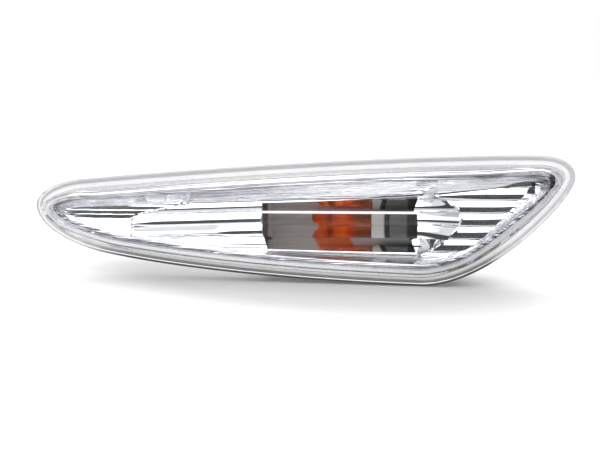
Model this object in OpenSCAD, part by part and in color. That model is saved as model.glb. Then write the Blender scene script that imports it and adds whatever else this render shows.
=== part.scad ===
// Side repeater lamp for a car front wing.
// Clear domed lens, bright fluted reflector with a clear fluted window, amber wedge bulb,
// rear housing with a port on its side, and a twist-in bulb holder with a plug socket.
// X runs along the car, Z is up, the lens looks along -Y and the wing panel lies at y = 0.

/* [Outline] */
// Overall length of the lens
lens_length = 160; // [150:1:175]
// Overall height of the lens
lens_height = 38.8; // [37:0.2:44]

/* [Lens] */
// How far the crown of the lens stands in front of the wing panel
lens_front = 13; // [11:0.5:16]
// Wall thickness of the lens
lens_wall = 1.5; // [1.2:0.1:1.8]
// Width of the flat border round the dome
border_w = 3.0; // [2.4:0.1:3.4]
// Thickness of the border
border_t = 2.2; // [1.6:0.1:3]

/* [Reflector] */
// Depth of the flute valleys behind the wing panel, at the window
floor_depth = 3.0; // [2:0.1:4]
// Thickness of the reflector
reflector_t = 1.2; // [1:0.1:1.6]
// Spacing of the flutes
flute_pitch = 3.85; // [3.4:0.05:4.4]
// Height of each flute
flute_h = 0.8; // [0.4:0.1:1.2]
// Length of the window
window_l = 46.5; // [42:0.5:50]
// Distance from the lamp's middle to the left edge of the window
window_start = 12.2; // [10:0.2:16]
// Thickness of the flange that holds the window from behind
window_flange_t = 0.8; // [0.6:0.1:1.2]

/* [Housing] */
// Thickness of the housing flange
flange_t = 1.4; // [1:0.1:2]
// Thickness of the housing walls
housing_wall = 1.2; // [1:0.1:1.6]
// Thickness of the foam gasket when it is pressed flat
gasket_t = 1.4; // [1:0.1:2]
// Height of the stiffening ribs on the back
rib_h = 2.4; // [1.5:0.1:4]
// Thickness of the stiffening ribs
rib_t = 1.2; // [0.8:0.1:1.6]
// Thickness of the locating tongue at the front end
tongue_t = 1.8; // [1.4:0.1:2.4]
// Gap for the folded edge of the wing panel, between the gasket and the tongue
panel_gap = 2.1; // [2.1:0.1:3]

/* [Bulb] */
// Radius of the bulb glass
bulb_r = 5.1; // [4.6:0.1:5.6]
// Length of the bulb glass in front of the holder
bulb_len = 19; // [16:0.5:22]
// Glass thickness
glass_t = 0.6; // [0.4:0.1:0.8]
// Width of the wedge base
wedge_w = 9.4; // [8.6:0.1:9.8]
// Thickness of the wedge base
wedge_t = 2.6; // [2.2:0.1:3]
// Length of the wedge base
wedge_l = 6.5; // [5.5:0.1:7.5]
// Radius of the lead-in wires
wire_r = 0.2; // [0.15:0.01:0.3]
// Distance between the two lead-in wires
wire_gap = 4.6; // [3.8:0.1:5.2]

/* [Bulb holder] */
// Wall of the neck round the bulb
neck_wall = 1.6; // [1.4:0.1:2]
// How far the bayonet lugs reach out of the neck
lug_reach = 1.4; // [1.2:0.1:1.8]
// Thickness of the bayonet lugs
lug_t = 1.8; // [1.4:0.1:2.2]
// Width of each bayonet lug
lug_w = 5; // [4:0.1:6]
// Running gap between the neck and the port
port_gap = 0.3; // [0.2:0.05:0.5]
// Thickness of the rubber seal
seal_t = 1.0; // [0.8:0.1:1.4]
// Thickness of the grip flange
grip_t = 1.8; // [1.4:0.1:2.4]
// Length of the plug socket
socket_l = 12; // [10:0.5:15]
// Inside width of the plug socket
socket_w = 10.4; // [9.6:0.1:11]
// Inside height of the plug socket
socket_h = 6.8; // [6.2:0.1:7.4]
// Wall of the plug socket
socket_wall = 1.3; // [1:0.1:1.5]
// Thickness of the terminals
terminal_t = 0.8; // [0.6:0.05:1]
// Width of the terminal blades
blade_w = 2.8; // [2.4:0.1:3.2]
// Distance between the terminal blades
blade_gap = 6; // [5.6:0.1:6.6]

/* [Spring clip] */
// Width of the spring clip
clip_w = 5; // [4:0.5:6]
// Thickness of the spring steel
clip_t = 0.5; // [0.4:0.05:0.7]

/* [Hidden] */
$fn = 64;

half_l = lens_length / 2;
half_h = lens_height / 2;

// Border of the lens as seven cubic curves, in halves of the length and height.
// They run from the left tip along the lower edge, up the slanted end and back along the top.
border_curve = [
    [[-1, 0.113], [-1, -0.186], [-0.8875, -0.474], [-0.75, -0.598]],
    [[-0.75, -0.598], [-0.45, -0.845], [0.05, -0.979], [0.45, -1]],
    [[0.45, -1], [0.5625, -1], [0.7025, -0.711], [0.825, -0.258]],
    [[0.825, -0.258], [0.89, -0.015], [0.97, 0.325], [0.995, 0.577]],
    [[0.995, 0.577], [1.015, 0.794], [0.97, 1], [0.875, 1]],
    [[0.875, 1], [0.5, 1], [-0.25, 0.784], [-0.825, 0.536]],
    [[-0.825, 0.536], [-0.9025, 0.5], [-1, 0.356], [-1, 0.113]]
];

// Edge of the reflector's fluted floor, as curves that pair with those of the border
floor_curve = [
    [[-0.915, 0.015], [-0.9075, -0.124], [-0.825, -0.304], [-0.725, -0.397]],
    [[-0.725, -0.397], [-0.475, -0.588], [0, -0.567], [0.45, -0.552]],
    [[0.45, -0.552], [0.5375, -0.552], [0.606, -0.51], [0.644, -0.361]],
    [[0.644, -0.361], [0.7, -0.129], [0.7725, 0.186], [0.82, 0.443]],
    [[0.82, 0.443], [0.845, 0.526], [0.835, 0.552], [0.8, 0.528]],
    [[0.8, 0.528], [0.45, 0.235], [-0.225, 0.19], [-0.725, 0.105]],
    [[-0.725, 0.105], [-0.8, 0.093], [-0.9075, 0.084], [-0.915, 0.015]]
];

// Steps along each curve: as many along the lower half as along the upper half
curve_steps = [6, 14, 6, 6, 5, 21, 6];

function bezier(p, t) =
    pow(1 - t, 3) * p[0] + 3 * pow(1 - t, 2) * t * p[1]
    + 3 * (1 - t) * pow(t, 2) * p[2] + pow(t, 3) * p[3];

function traced(curve) =
    [for (s = [0 : len(curve) - 1]) for (k = [0 : curve_steps[s] - 1])
        let (p = bezier(curve[s], k / curve_steps[s])) [p.x * half_l, p.y * half_h]];

// Moves every point of a closed outline inwards, square to the outline
function inset(points, d) =
    let (n = len(points))
    [for (i = [0 : n - 1])
        let (along = points[(i + 1) % n] - points[(i + n - 1) % n])
        points[i] + d * [-along.y, along.x] / norm(along)];

function mixed(a, b, share) = [for (i = [0 : len(a) - 1]) a[i] + share * (b[i] - a[i])];

// Point of the stretch from a to b that is nearest to p
function nearest_on(p, a, b) =
    let (t = (p - a) * (b - a) / ((b - a) * (b - a))) a + max(0, min(1, t)) * (b - a);

// Point of a closed outline that is nearest to p
function nearest(p, outline) =
    let (n = len(outline),
         spots = [for (i = [0 : n - 1]) nearest_on(p, outline[i], outline[(i + 1) % n])],
         gaps = [for (spot = spots) norm(p - spot)])
    spots[search(min(gaps), gaps)[0]];

// Moves the points that lie closer than d to an outline straight away from it, to that distance
function kept_inside(points, outline, d) =
    [for (p = points)
        let (spot = nearest(p, outline), gap = norm(p - spot))
        gap < d ? spot + d * (p - spot) / gap : p];

border = traced(border_curve);
count = len(border);

// Widths in from the edge of the lens
lens_inner = border_w + lens_wall;
tub_out = lens_inner - 0.6;
tub_in = tub_out + housing_wall;
rim_out = lens_inner + 0.1;
rim_in = tub_in + 1.1;
wall_t = 0.9;
floor_edge = kept_inside(traced(floor_curve), border, tub_in + 0.25 + wall_t);

// Middle line of the lamp: each point of the border looks at its own place on it.
// Near the two tips these places draw in, so that outlines further in stay smooth.
dome_foot = inset(border, border_w);
half = count / 2;
middles = [for (i = [0 : half]) (dome_foot[i] + dome_foot[(count - i) % count]) / 2];
draw_in = [[middles[0].x, -0.825 * half_l], [-0.71 * half_l, -0.71 * half_l],
           [0.63 * half_l, 0.63 * half_l], [middles[half].x, 0.75 * half_l]];
spine = [for (i = [0 : count - 1])
    let (x = lookup(middles[min(i, count - i)].x, draw_in)) [x, lookup(x, middles)]];

// Outline at a distance w inside the border
function ring(w) =
    w <= border_w ? inset(border, w)
    : [for (i = [0 : count - 1])
        let (way = spine[i] - dome_foot[i]) dome_foot[i] + (w - border_w) * way / norm(way)];

// Puts an outline at depth y
function at_depth(points, y) = [for (p = points) [p.x, y, p.y]];

// Depths, from the wing panel forwards
flange_back = -gasket_t;
lens_back = flange_back - flange_t;
border_front = lens_back - border_t;

// Reflector and window
slope = 0.8;                                  // rise of the flutes towards the right, in degrees
flute_zero = 1.1;                             // height of one flute valley at the window's middle
flute_r = (pow(flute_pitch / 2, 2) + pow(flute_h, 2)) / (2 * flute_h);
window_x0 = -window_start;
window_x1 = window_x0 + window_l;
window_mid = (window_x0 + window_x1) / 2;
ramp_l = 10;
ramp_end = window_x1 + ramp_l;
rim_t = 1.0;
ledge = 0.2;                                  // frame round the window
floor_left = -0.93 * half_l;
floor_right = 0.86 * half_l;
left_rise = 3.6;                              // from the window's depth to the floor's left tip
ramp_rise = 3.2;                              // to the end of the ramp beside the window
right_rise = 4.2;                             // to the floor's right tip
// Depth of the floor along the lamp
floor_line = [[floor_left, floor_depth - left_rise], [window_x0, floor_depth],
              [window_x1, floor_depth], [ramp_end, floor_depth - ramp_rise],
              [floor_right, floor_depth - right_rise]];
function floor_at(x) = lookup(x, floor_line);

// Housing
tub_floor = floor_depth + reflector_t + window_flange_t;
tub_back = tub_floor + housing_wall;

// Bulb and holder, round one axis along X
neck_r = bulb_r + neck_wall;
lug_r = neck_r + lug_reach;
grip_r = lug_r + 0.7;
bulb_y = tub_back + 0.4 + grip_r;
bulb_z = -3.3;
chamber_r = lug_r + 0.5;
chamber_x0 = window_x0 - 0.4;
port_x = window_x1 - 0.3;
port_t = 1.6;
seal_x = port_x + port_t;
grip_x = seal_x + seal_t;
socket_x = grip_x + grip_t;
neck_l = 14.1;
mouth_x = port_x - neck_l;
tip_x = mouth_x - bulb_len;
wedge_x = mouth_x + 2.2;
recess_d = 2.5;
lug_x = port_x - 0.3 - lug_t;
lug_count = 3;
lug_turn = 45;                                // turn from locked to free
finger_y = wedge_t / 2 + 2 * wire_r;

// Flat plate with a given outline, from depth y0 back to depth y1
module plate(points, y0, y1) {
    translate([0, y1, 0]) rotate([90, 0, 0]) linear_extrude(y1 - y0) polygon(points);
}

// Frame between two outlines, from depth y0 back to depth y1
module frame_plate(outer, inner, y0, y1) {
    translate([0, y1, 0]) rotate([90, 0, 0]) linear_extrude(y1 - y0)
        difference() {
            polygon(outer);
            polygon(inner);
        }
}

// Skin through a list of rings with the same number of points. A closed skin joins the last ring
// to the first. An open one is shut at both ends by strips between its lower and upper half.
module skin(rings, closed) {
    n = len(rings[0]);
    m = len(rings);
    last = (m - 1) * n;
    sides = [for (k = [0 : closed ? m - 1 : m - 2]) for (i = [0 : n - 1])
        let (a = k * n + i, b = k * n + (i + 1) % n, c = ((k + 1) % m) * n + (i + 1) % n,
             d = ((k + 1) % m) * n + i)
        each [[a, d, c], [a, c, b]]];
    strips = concat([[0, 1, n - 1]],
        [for (i = [1 : n / 2 - 2]) each [[i, i + 1, n - i - 1], [i, n - i - 1, n - i]]],
        [[n / 2 - 1, n / 2, n / 2 + 1]]);
    ends = closed ? [] : [for (f = strips) each [f, [f[2] + last, f[1] + last, f[0] + last]]];
    polyhedron(points = [for (r = rings) each r], faces = concat(sides, ends), convexity = 6);
}

// Turns a shape built along Z so that it lies along X on the bulb's axis
module on_axis(x) {
    translate([x, bulb_y, bulb_z]) rotate([0, 90, 0]) children();
}

// Dome of the lens: where its side turns over, and how far the shoulder lies in from its foot
side_d = 3.6;
turn_d = 1.9;
shoulder_d = 0.9;
shoulder_w = 2.1;

module lens() {
    shoulder = ring(border_w + shoulder_w);
    inner_shoulder = ring(lens_inner + 1.5);
    crown = [[0.25, 0.5], [0.55, 0.15], [0.85, 0]];      // share of the way to the middle, depth
    inside = concat(
        [for (k = [2 : -1 : 0])
            at_depth(mixed(inner_shoulder, spine, crown[k][0]), -lens_front + lens_wall + crown[k][1])],
        [at_depth(inner_shoulder, -lens_front + lens_wall + shoulder_d),
         at_depth(ring(lens_inner + 0.6), -lens_front + lens_wall + 1.8),
         at_depth(ring(lens_inner + 0.2), -lens_front + lens_wall + 3.2),
         at_depth(ring(lens_inner), lens_back)]);
    outside = concat(
        [at_depth(ring(0.5), lens_back),
         at_depth(ring(0), lens_back - 0.5),
         at_depth(ring(0), border_front + 0.7),
         at_depth(ring(0.25), border_front + 0.2),
         at_depth(ring(0.8), border_front),
         at_depth(ring(border_w - 0.4), border_front),
         at_depth(ring(border_w), border_front - 0.4),
         at_depth(ring(border_w + 0.25), -lens_front + side_d),
         at_depth(ring(border_w + 0.9), -lens_front + turn_d),
         at_depth(shoulder, -lens_front + shoulder_d)],
        [for (c = crown) at_depth(mixed(shoulder, spine, c[0]), -lens_front + c[1])]);
    color([0.93, 0.95, 0.97, 0.35]) skin(concat(inside, outside), false);
}

// Fluted sheet, cut across: 2D x is depth and 2D y is height
module flute_section(back) {
    span = 4;
    steps = 6;
    reach = span * flute_pitch;
    front = [for (k = [-span * steps : span * steps])
        let (off = ((k + span * steps) % steps / steps - 0.5) * flute_pitch)
        [flute_r - flute_h - sqrt(flute_r * flute_r - off * off), k * flute_pitch / steps]];
    translate([0, flute_zero]) polygon(concat(front, [[back, reach], [back, -reach]]));
}

// Fluted sheet from one point of the floor line to the next
module fluted_sheet(from, to, back) {
    way = to - from;
    reach = norm(way) + 1;
    translate([from.x, from.y, (from.x - window_mid) * tan(slope)])
        rotate([0, 0, atan2(way.y, way.x)])
            rotate([0, -slope, 0])
                translate([-0.5, 0, 0])
                    rotate([90, 0, 90]) linear_extrude(reach) flute_section(back);
}

// Window-shaped block, grown by a margin, from depth y0 back to the housing's floor
module window_prism(margin, y0) {
    intersection() {
        plate(inset(floor_edge, ledge - margin), y0, tub_floor);
        translate([window_x0 - margin, y0, -half_h])
            cube([window_l + 2 * margin, tub_floor - y0, lens_height]);
    }
}

module reflector() {
    under_edge = inset(floor_edge, -wall_t);
    floor_back = reflector_t + 0.1;
    depth = [for (p = floor_edge) floor_at(p.x)];
    wall = [
        at_depth(ring(rim_out), lens_back),
        at_depth(ring(rim_out), lens_back - rim_t),
        at_depth(ring(rim_in), lens_back - rim_t),
        [for (i = [0 : count - 1]) [floor_edge[i].x, depth[i] - 0.1, floor_edge[i].y]],
        [for (i = [0 : count - 1]) [floor_edge[i].x, depth[i] + floor_back, floor_edge[i].y]],
        [for (i = [0 : count - 1]) [under_edge[i].x, depth[i] + floor_back, under_edge[i].y]],
        at_depth(ring(tub_in + 0.25), lens_back)
    ];
    color([0.86, 0.87, 0.89]) union() {
        skin(wall, true);
        difference() {
            intersection() {
                union()
                    for (k = [0 : len(floor_line) - 2])
                        fluted_sheet(floor_line[k], floor_line[k + 1], reflector_t);
                plate(inset(floor_edge, -0.45), -lens_front, tub_back);
            }
            window_prism(0, -lens_front);
        }
    }
}

module window_lens() {
    color([0.9, 0.92, 0.93, 0.4]) union() {
        intersection() {
            fluted_sheet(floor_line[1], floor_line[2], reflector_t + window_flange_t / 2);
            window_prism(0, -lens_front);
        }
        intersection() {
            window_prism(ledge + 1.6, floor_depth + reflector_t + 0.1);
            plate(ring(tub_in + 0.2), floor_depth, tub_floor);
        }
    }
}

// Bars across the bulb's axis that form the lugs, or cut the slots they pass through
module lug_bars(reach, width, thick, turn) {
    for (k = [0 : lug_count - 1])
        rotate([0, 0, turn + k * 360 / lug_count])
            translate([0, -width / 2, 0]) cube([reach, width, thick]);
}

module housing_chamber(r, x0, x1, front) {
    on_axis(x0) cylinder(h = x1 - x0, r = r);
    translate([x0, front, bulb_z - r]) cube([x1 - x0, bulb_y - front, 2 * r]);
}

module housing() {
    color([0.78, 0.79, 0.8]) difference() {
        union() {
            plate(ring(0.9), lens_back, flange_back);
            plate(ring(tub_out), lens_back, tub_back);
            housing_chamber(chamber_r + housing_wall, chamber_x0 - housing_wall, seal_x, tub_floor);
            // locating tongue at the front tip
            translate([tongue_x0, panel_gap, tongue_z - tongue_w / 2])
                cube([tongue_l, tongue_t, tongue_w]);
            // two ribs along the back and one across
            for (z = rib_rows)
                translate([rib_x0, tub_floor + 0.5, z - rib_t / 2])
                    cube([chamber_x0 - housing_wall / 2 - rib_x0, housing_wall - 0.5 + rib_h, rib_t]);
            translate([rib_x0, tub_floor + 0.5, rib_rows[0] - rib_t / 2])
                cube([rib_t, housing_wall - 0.5 + rib_h, rib_rows[1] - rib_rows[0] + rib_t]);
            // stub for the vent cap
            translate([vent_x, tub_floor + 0.5, vent_z]) rotate([-90, 0, 0])
                cylinder(h = housing_wall - 0.5 + vent_h, r = vent_r);
            // stud that holds the spring clip, with its flattened head
            translate([clip_x, tub_back, clip_z]) rotate([-90, 0, 0]) {
                translate([0, 0, -0.5]) cylinder(h = clip_t + 1, r = stud_r);
                translate([0, 0, clip_t]) cylinder(h = 0.9, r1 = stud_r + 1, r2 = stud_r);
            }
        }
        plate(ring(tub_in), lens_back - 1, tub_floor);
        // room for the bulb
        housing_chamber(chamber_r, chamber_x0, port_x, tub_floor - 1);
        // port and its three slots
        on_axis(port_x - 1) {
            cylinder(h = port_t + 2, r = neck_r + port_gap);
            intersection() {
                lug_bars(lug_r + 1, lug_w + 2 * port_gap, port_t + 2, lug_turn);
                cylinder(h = port_t + 2, r = lug_r + port_gap);
            }
        }
        // vent bore
        translate([vent_x, tub_floor - 1, vent_z]) rotate([-90, 0, 0])
            cylinder(h = housing_wall + vent_h + 2, r = vent_r - 1);
    }
}

// Places on the back of the housing
tongue_l = 8;
tongue_w = 4.4;
tongue_x0 = -half_l + 1.2;
tongue_z = 0.11 * half_h;
rib_x0 = -0.72 * half_l;
rib_rows = [bulb_z - 3, bulb_z + 5];
vent_x = -0.36 * half_l;
vent_z = bulb_z + 1;
vent_r = 2.4;
vent_h = 3.2;
tub_tip = max([for (p = ring(tub_out)) p.x]);
clip_x = tub_tip - 9.5;
clip_z = 0.62 * half_h;
stud_r = 1.5;
clip_foot = 4;                                // from the stud to the clip's far end

module gasket() {
    color([0.12, 0.12, 0.13]) frame_plate(ring(1.2), ring(tub_out), flange_back, 0);
}

// Path of the spring clip, seen from above: base on the housing, then a leg bent round the end.
// The leg's last stretch is a ramp that wedges on the edge of the wing panel.
clip_path = [[clip_x - clip_foot, tub_back + clip_t / 2], [tub_tip + 0.1, tub_back + clip_t / 2],
             [tub_tip + 1, tub_back - 0.5], [tub_tip + 1.5, tub_back - 1.6],
             [tub_tip + 0.6, panel_gap + clip_t / 2 + 0.1]];

module strip(path, t) {
    for (k = [0 : len(path) - 2]) {
        way = path[k + 1] - path[k];
        translate(path[k]) rotate(atan2(way.y, way.x)) translate([0, -t / 2]) square([norm(way), t]);
    }
    for (p = path) translate(p) circle(t / 2);
}

module spring_clip() {
    color([0.72, 0.73, 0.75]) difference() {
        translate([0, 0, clip_z - clip_w / 2]) linear_extrude(clip_w) strip(clip_path, clip_t);
        translate([clip_x, tub_back - 1, clip_z]) rotate([-90, 0, 0]) cylinder(h = 3, r = stud_r);
    }
}

module vent_cap() {
    color([0.1, 0.1, 0.11]) translate([vent_x, tub_back, vent_z]) rotate([-90, 0, 0])
        difference() {
            union() {
                cylinder(h = vent_h + 1, r = vent_r + 1);
                translate([0, 0, vent_h + 1]) cylinder(h = 0.6, r1 = vent_r + 1, r2 = vent_r);
            }
            translate([0, 0, -1]) cylinder(h = vent_h + 1, r = vent_r);
        }
}

module rounded(w, h, r) {
    translate([-w / 2 + r, -h / 2]) square([w - 2 * r, h]);
    translate([-w / 2, -h / 2 + r]) square([w, h - 2 * r]);
    for (x = [-1, 1]) for (y = [-1, 1])
        translate([x * (w / 2 - r), y * (h / 2 - r)]) circle(r);
}

// One brass terminal: blade in the plug socket, link, and spring finger on the bulb's wire
module terminal_shape() {
    blade_end = socket_x + socket_l - 2;
    link_x = wedge_x + wedge_l + 0.6;
    z0 = blade_gap / 2 - terminal_t / 2;
    translate([link_x, bulb_y - blade_w / 2, bulb_z + z0])
        cube([blade_end - link_x, blade_w, terminal_t]);
    translate([link_x, bulb_y - blade_w / 2, bulb_z + z0])
        cube([1.5, blade_w / 2 + finger_y + 0.5, terminal_t]);
    translate([wedge_x + 0.6, bulb_y + finger_y, bulb_z + wire_gap / 2 - 1])
        cube([wedge_l + 1.5, 0.5, z0 + terminal_t - wire_gap / 2 + 1]);
}

module half_turn() {
    translate([0, bulb_y, bulb_z]) rotate([180, 0, 0]) translate([0, -bulb_y, -bulb_z]) children();
}

module terminal_upper() { color([0.8, 0.65, 0.3]) terminal_shape(); }
module terminal_lower() { color([0.8, 0.65, 0.3]) half_turn() terminal_shape(); }

module holder_body() {
    slot_t = wedge_t + 4 * wire_r + 0.4;
    color([0.55, 0.56, 0.57]) difference() {
        union() {
            on_axis(mouth_x) cylinder(h = grip_x - mouth_x, r = neck_r);
            on_axis(lug_x) intersection() {
                lug_bars(lug_r, lug_w, lug_t, 0);
                cylinder(h = lug_t, r = lug_r);
            }
            on_axis(grip_x) cylinder(h = grip_t, r = grip_r);
            on_axis(socket_x) rotate([0, 0, 90]) linear_extrude(socket_l)
                rounded(socket_h + 2 * socket_wall, socket_w + 2 * socket_wall, 1.2);
            // latch nib for the plug
            translate([socket_x + socket_l - 5, bulb_y + socket_h / 2 + socket_wall, bulb_z - 1.5])
                cube([2, 0.8, 3]);
        }
        on_axis(mouth_x - 1) cylinder(h = recess_d + 1, r = bulb_r + 0.15);
        translate([mouth_x, bulb_y - slot_t / 2, bulb_z - wedge_w / 2 - 0.2])
            cube([wedge_x - mouth_x + wedge_l + 1, slot_t, wedge_w + 0.4]);
        on_axis(socket_x) rotate([0, 0, 90]) linear_extrude(socket_l + 1)
            rounded(socket_h, socket_w, 0.6);
        terminal_shape();
        half_turn() terminal_shape();
    }
}

module holder_seal() {
    color([0.1, 0.1, 0.1]) on_axis(seal_x) difference() {
        cylinder(h = seal_t, r = grip_r - 0.4);
        translate([0, 0, -1]) cylinder(h = seal_t + 2, r = neck_r);
    }
}

// Half section of a round-ended bulb, drawn with its length along 2D y
module bulb_section(r, tip, foot, foot_r) {
    intersection() {
        translate([0, tip]) square([r, foot - tip]);
        union() {
            translate([0, tip + r]) circle(r);
            translate([0, tip + r]) square([r, foot - foot_r - tip - r]);
            translate([0, foot - foot_r]) square([r - foot_r, foot_r]);
            translate([r - foot_r, foot - foot_r]) circle(foot_r);
        }
    }
}

module bulb_glass() {
    foot = mouth_x + recess_d - 0.3 - tip_x;
    color([1, 0.45, 0.05, 0.6]) difference() {
        union() {
            on_axis(tip_x) rotate_extrude() bulb_section(bulb_r, 0, foot, 1.5);
            translate([wedge_x - 1, bulb_y - wedge_t / 2, bulb_z - wedge_w / 2])
                cube([wedge_l + 1, wedge_t, wedge_w]);
        }
        on_axis(tip_x) rotate_extrude() bulb_section(bulb_r - glass_t, glass_t, foot - 1.6, 1);
        for (side = [-1, 1])
            translate([wedge_x - 4, bulb_y, bulb_z + side * wire_gap / 2]) rotate([0, 90, 0])
                cylinder(h = wedge_l + 5, r = wire_r, $fn = 16);
    }
}

filament_x = tip_x + 7.5;
coil_r = 0.45;

// Lead-in wire: through the wedge, folded round its end and laid along its flat side
module wire_shape() {
    end_x = wedge_x + wedge_l + wire_r;
    lay_y = bulb_y + wedge_t / 2 + wire_r;
    wire_z = bulb_z + wire_gap / 2;
    translate([filament_x, bulb_y, wire_z]) rotate([0, 90, 0])
        cylinder(h = end_x - filament_x, r = wire_r, $fn = 16);
    translate([end_x, bulb_y, wire_z]) rotate([-90, 0, 0])
        cylinder(h = lay_y - bulb_y, r = wire_r, $fn = 16);
    translate([wedge_x + 1.5, lay_y, wire_z]) rotate([0, 90, 0])
        cylinder(h = end_x - wedge_x - 1.5, r = wire_r, $fn = 16);
    translate([end_x, lay_y, wire_z]) sphere(r = wire_r, $fn = 16);
    translate([end_x, bulb_y, wire_z]) sphere(r = wire_r, $fn = 16);
}

module bulb_wire_upper() { color([0.7, 0.7, 0.68]) wire_shape(); }
module bulb_wire_lower() { color([0.7, 0.7, 0.68]) half_turn() wire_shape(); }

module bulb_bead() {
    bead_x = mouth_x - 3;
    color([0.75, 0.85, 0.8]) difference() {
        translate([bead_x, bulb_y, bulb_z - wire_gap / 2 - 0.7]) cylinder(h = wire_gap + 1.4, r = 0.8, $fn = 24);
        for (side = [-1, 1])
            translate([bead_x - 2, bulb_y, bulb_z + side * wire_gap / 2]) rotate([0, 90, 0])
                cylinder(h = 4, r = wire_r, $fn = 16);
    }
}

// Coiled filament between the ends of the lead-in wires
module bulb_filament() {
    turns = 9;
    steps = 10;
    sides = 5;
    thread_r = 0.09;
    span = wire_gap - 2 * wire_r;
    n = turns * steps;
    path = [for (i = [0 : n])
        [filament_x + coil_r + thread_r + coil_r * cos(i * 360 / steps) - coil_r,
         bulb_y + coil_r * sin(i * 360 / steps),
         bulb_z - span / 2 + span * i / n]];
    points = [for (i = [0 : n]) for (j = [0 : sides - 1])
        let (a = i * 360 / steps, b = j * 360 / sides, out = [cos(a), sin(a), 0])
        path[i] + thread_r * (cos(b) * out + [0, 0, sin(b)])];
    walls = [for (i = [0 : n - 1]) for (j = [0 : sides - 1])
        let (a = i * sides + j, b = i * sides + (j + 1) % sides)
        each [[a, b, b + sides], [a, b + sides, a + sides]]];
    ends = [[for (j = [sides - 1 : -1 : 0]) j], [for (j = [0 : sides - 1]) n * sides + j]];
    color([0.5, 0.5, 0.5]) polyhedron(points = points, faces = concat(walls, ends), convexity = 10);
}

lens();
reflector();
window_lens();
housing();
gasket();
spring_clip();
vent_cap();
holder_body();
holder_seal();
terminal_upper();
terminal_lower();
bulb_glass();
bulb_filament();
bulb_bead();
bulb_wire_upper();
bulb_wire_lower();
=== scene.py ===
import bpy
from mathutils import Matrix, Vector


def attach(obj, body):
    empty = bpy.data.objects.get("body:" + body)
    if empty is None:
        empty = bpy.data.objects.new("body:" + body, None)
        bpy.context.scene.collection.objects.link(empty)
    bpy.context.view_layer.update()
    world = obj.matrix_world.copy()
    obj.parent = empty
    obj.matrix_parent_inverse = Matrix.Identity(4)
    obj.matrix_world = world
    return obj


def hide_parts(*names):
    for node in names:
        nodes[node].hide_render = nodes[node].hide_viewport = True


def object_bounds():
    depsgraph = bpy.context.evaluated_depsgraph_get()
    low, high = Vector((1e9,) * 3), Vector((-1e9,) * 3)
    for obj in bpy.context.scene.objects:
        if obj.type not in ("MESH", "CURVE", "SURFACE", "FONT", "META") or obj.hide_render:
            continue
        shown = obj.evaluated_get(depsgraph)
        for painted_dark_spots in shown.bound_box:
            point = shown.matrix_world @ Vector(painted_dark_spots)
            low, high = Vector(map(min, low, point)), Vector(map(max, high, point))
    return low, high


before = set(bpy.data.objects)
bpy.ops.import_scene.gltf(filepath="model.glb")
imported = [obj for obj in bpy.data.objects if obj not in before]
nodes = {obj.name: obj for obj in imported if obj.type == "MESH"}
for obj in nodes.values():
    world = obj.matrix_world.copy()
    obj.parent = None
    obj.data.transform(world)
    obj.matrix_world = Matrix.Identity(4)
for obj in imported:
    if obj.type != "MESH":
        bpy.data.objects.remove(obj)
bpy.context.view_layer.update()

import math

import bmesh
import bpy
import numpy as np
from mathutils import Vector

MM = 0.001
LAMP = "lamp"
scene = bpy.context.scene

# Sizes in mm, as in the part's source.
HALF_L, HALF_H = 80.0, 19.4
LENS_FRONT, LENS_WALL = 13.0, 1.5
BORDER_W, BORDER_T = 3.0, 2.2
FLOOR_DEPTH, REFLECTOR_T = 3.0, 1.2
BULB_Y, BULB_Z, MOUTH_X, PORT_X = 15.4, -3.3, 19.9, 34.0
CHAMBER_R = 8.6
PITCH, FLUTE_H = 3.85, 0.8
FLUTE_ZERO = 1.1                                   # height of one flute valley at the window's middle
FLUTE_R = ((PITCH / 2) ** 2 + FLUTE_H ** 2) / (2 * FLUTE_H)
SLOPE = math.tan(math.radians(0.8))                # rise of the flutes towards the right
WINDOW_X0, WINDOW_X1 = -12.2, 34.3
WINDOW_MID = (WINDOW_X0 + WINDOW_X1) / 2
LEDGE = 0.2                                        # frame round the window
GASKET_T, FLANGE_T, HOUSING_WALL = 1.4, 1.4, 1.2
LENS_BACK = -(GASKET_T + FLANGE_T)
BORDER_FRONT = LENS_BACK - BORDER_T
LENS_INNER = BORDER_W + LENS_WALL
TUB_IN = LENS_INNER - 0.6 + HOUSING_WALL
TUB_GAP = 0.25
RIM_OUT, RIM_IN, RIM_T = LENS_INNER + 0.1, TUB_IN + 1.1, 1.0
WALL_T = 0.9
FLOOR_LINE = [(-0.93 * HALF_L, FLOOR_DEPTH - 3.6), (WINDOW_X0, FLOOR_DEPTH),
              (WINDOW_X1, FLOOR_DEPTH), (WINDOW_X1 + 10, FLOOR_DEPTH - 3.2),
              (0.86 * HALF_L, FLOOR_DEPTH - 4.2)]

# Sizes in mm of what is finer here.
FALL = 0.03                                        # how far the flutes left of the window sink, per mm
TIP_PITCH, TIP_CREST = 1.35, -0.9                  # flutes of the left tip: spacing, height of one crest
FINE_LEAN, WIDE_LEAN = -0.12, -0.36                # where a crest lies across its flute
MIDDLE_BAND, LOW_BAND = -1, -2                     # flutes counted from the one above FLUTE_ZERO
LAND_X0, LAND_X1, LAND_H = 44, 66, 1.1             # flat strip above the flutes of the broad end
WELD_IN, WELD_OUT, WELD_H = 3.1, 1.75, 0.06
LOWER_Z = -12.0                                    # below it lies the lens's lower side
# Painted shade lies on the bend of the reflector's wall at the broad end, with a painted highlight arc
# of radius ARC_R along it.
BEND_X, BEND_Z, ARC_R = 67.3, 9.9, 5.8             # bend of the reflector's wall at the broad end

# How strongly the clear lens mirrors, as a share of what plain plastic does.
LENS_SHINE = 0.4

# Which of its object's materials a face has, where that isn't the first.
ON_EDGE, ON_WELD, ON_SIDE = 1, 2, 3
ON_WALL, ON_RIM = 1, 2

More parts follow.
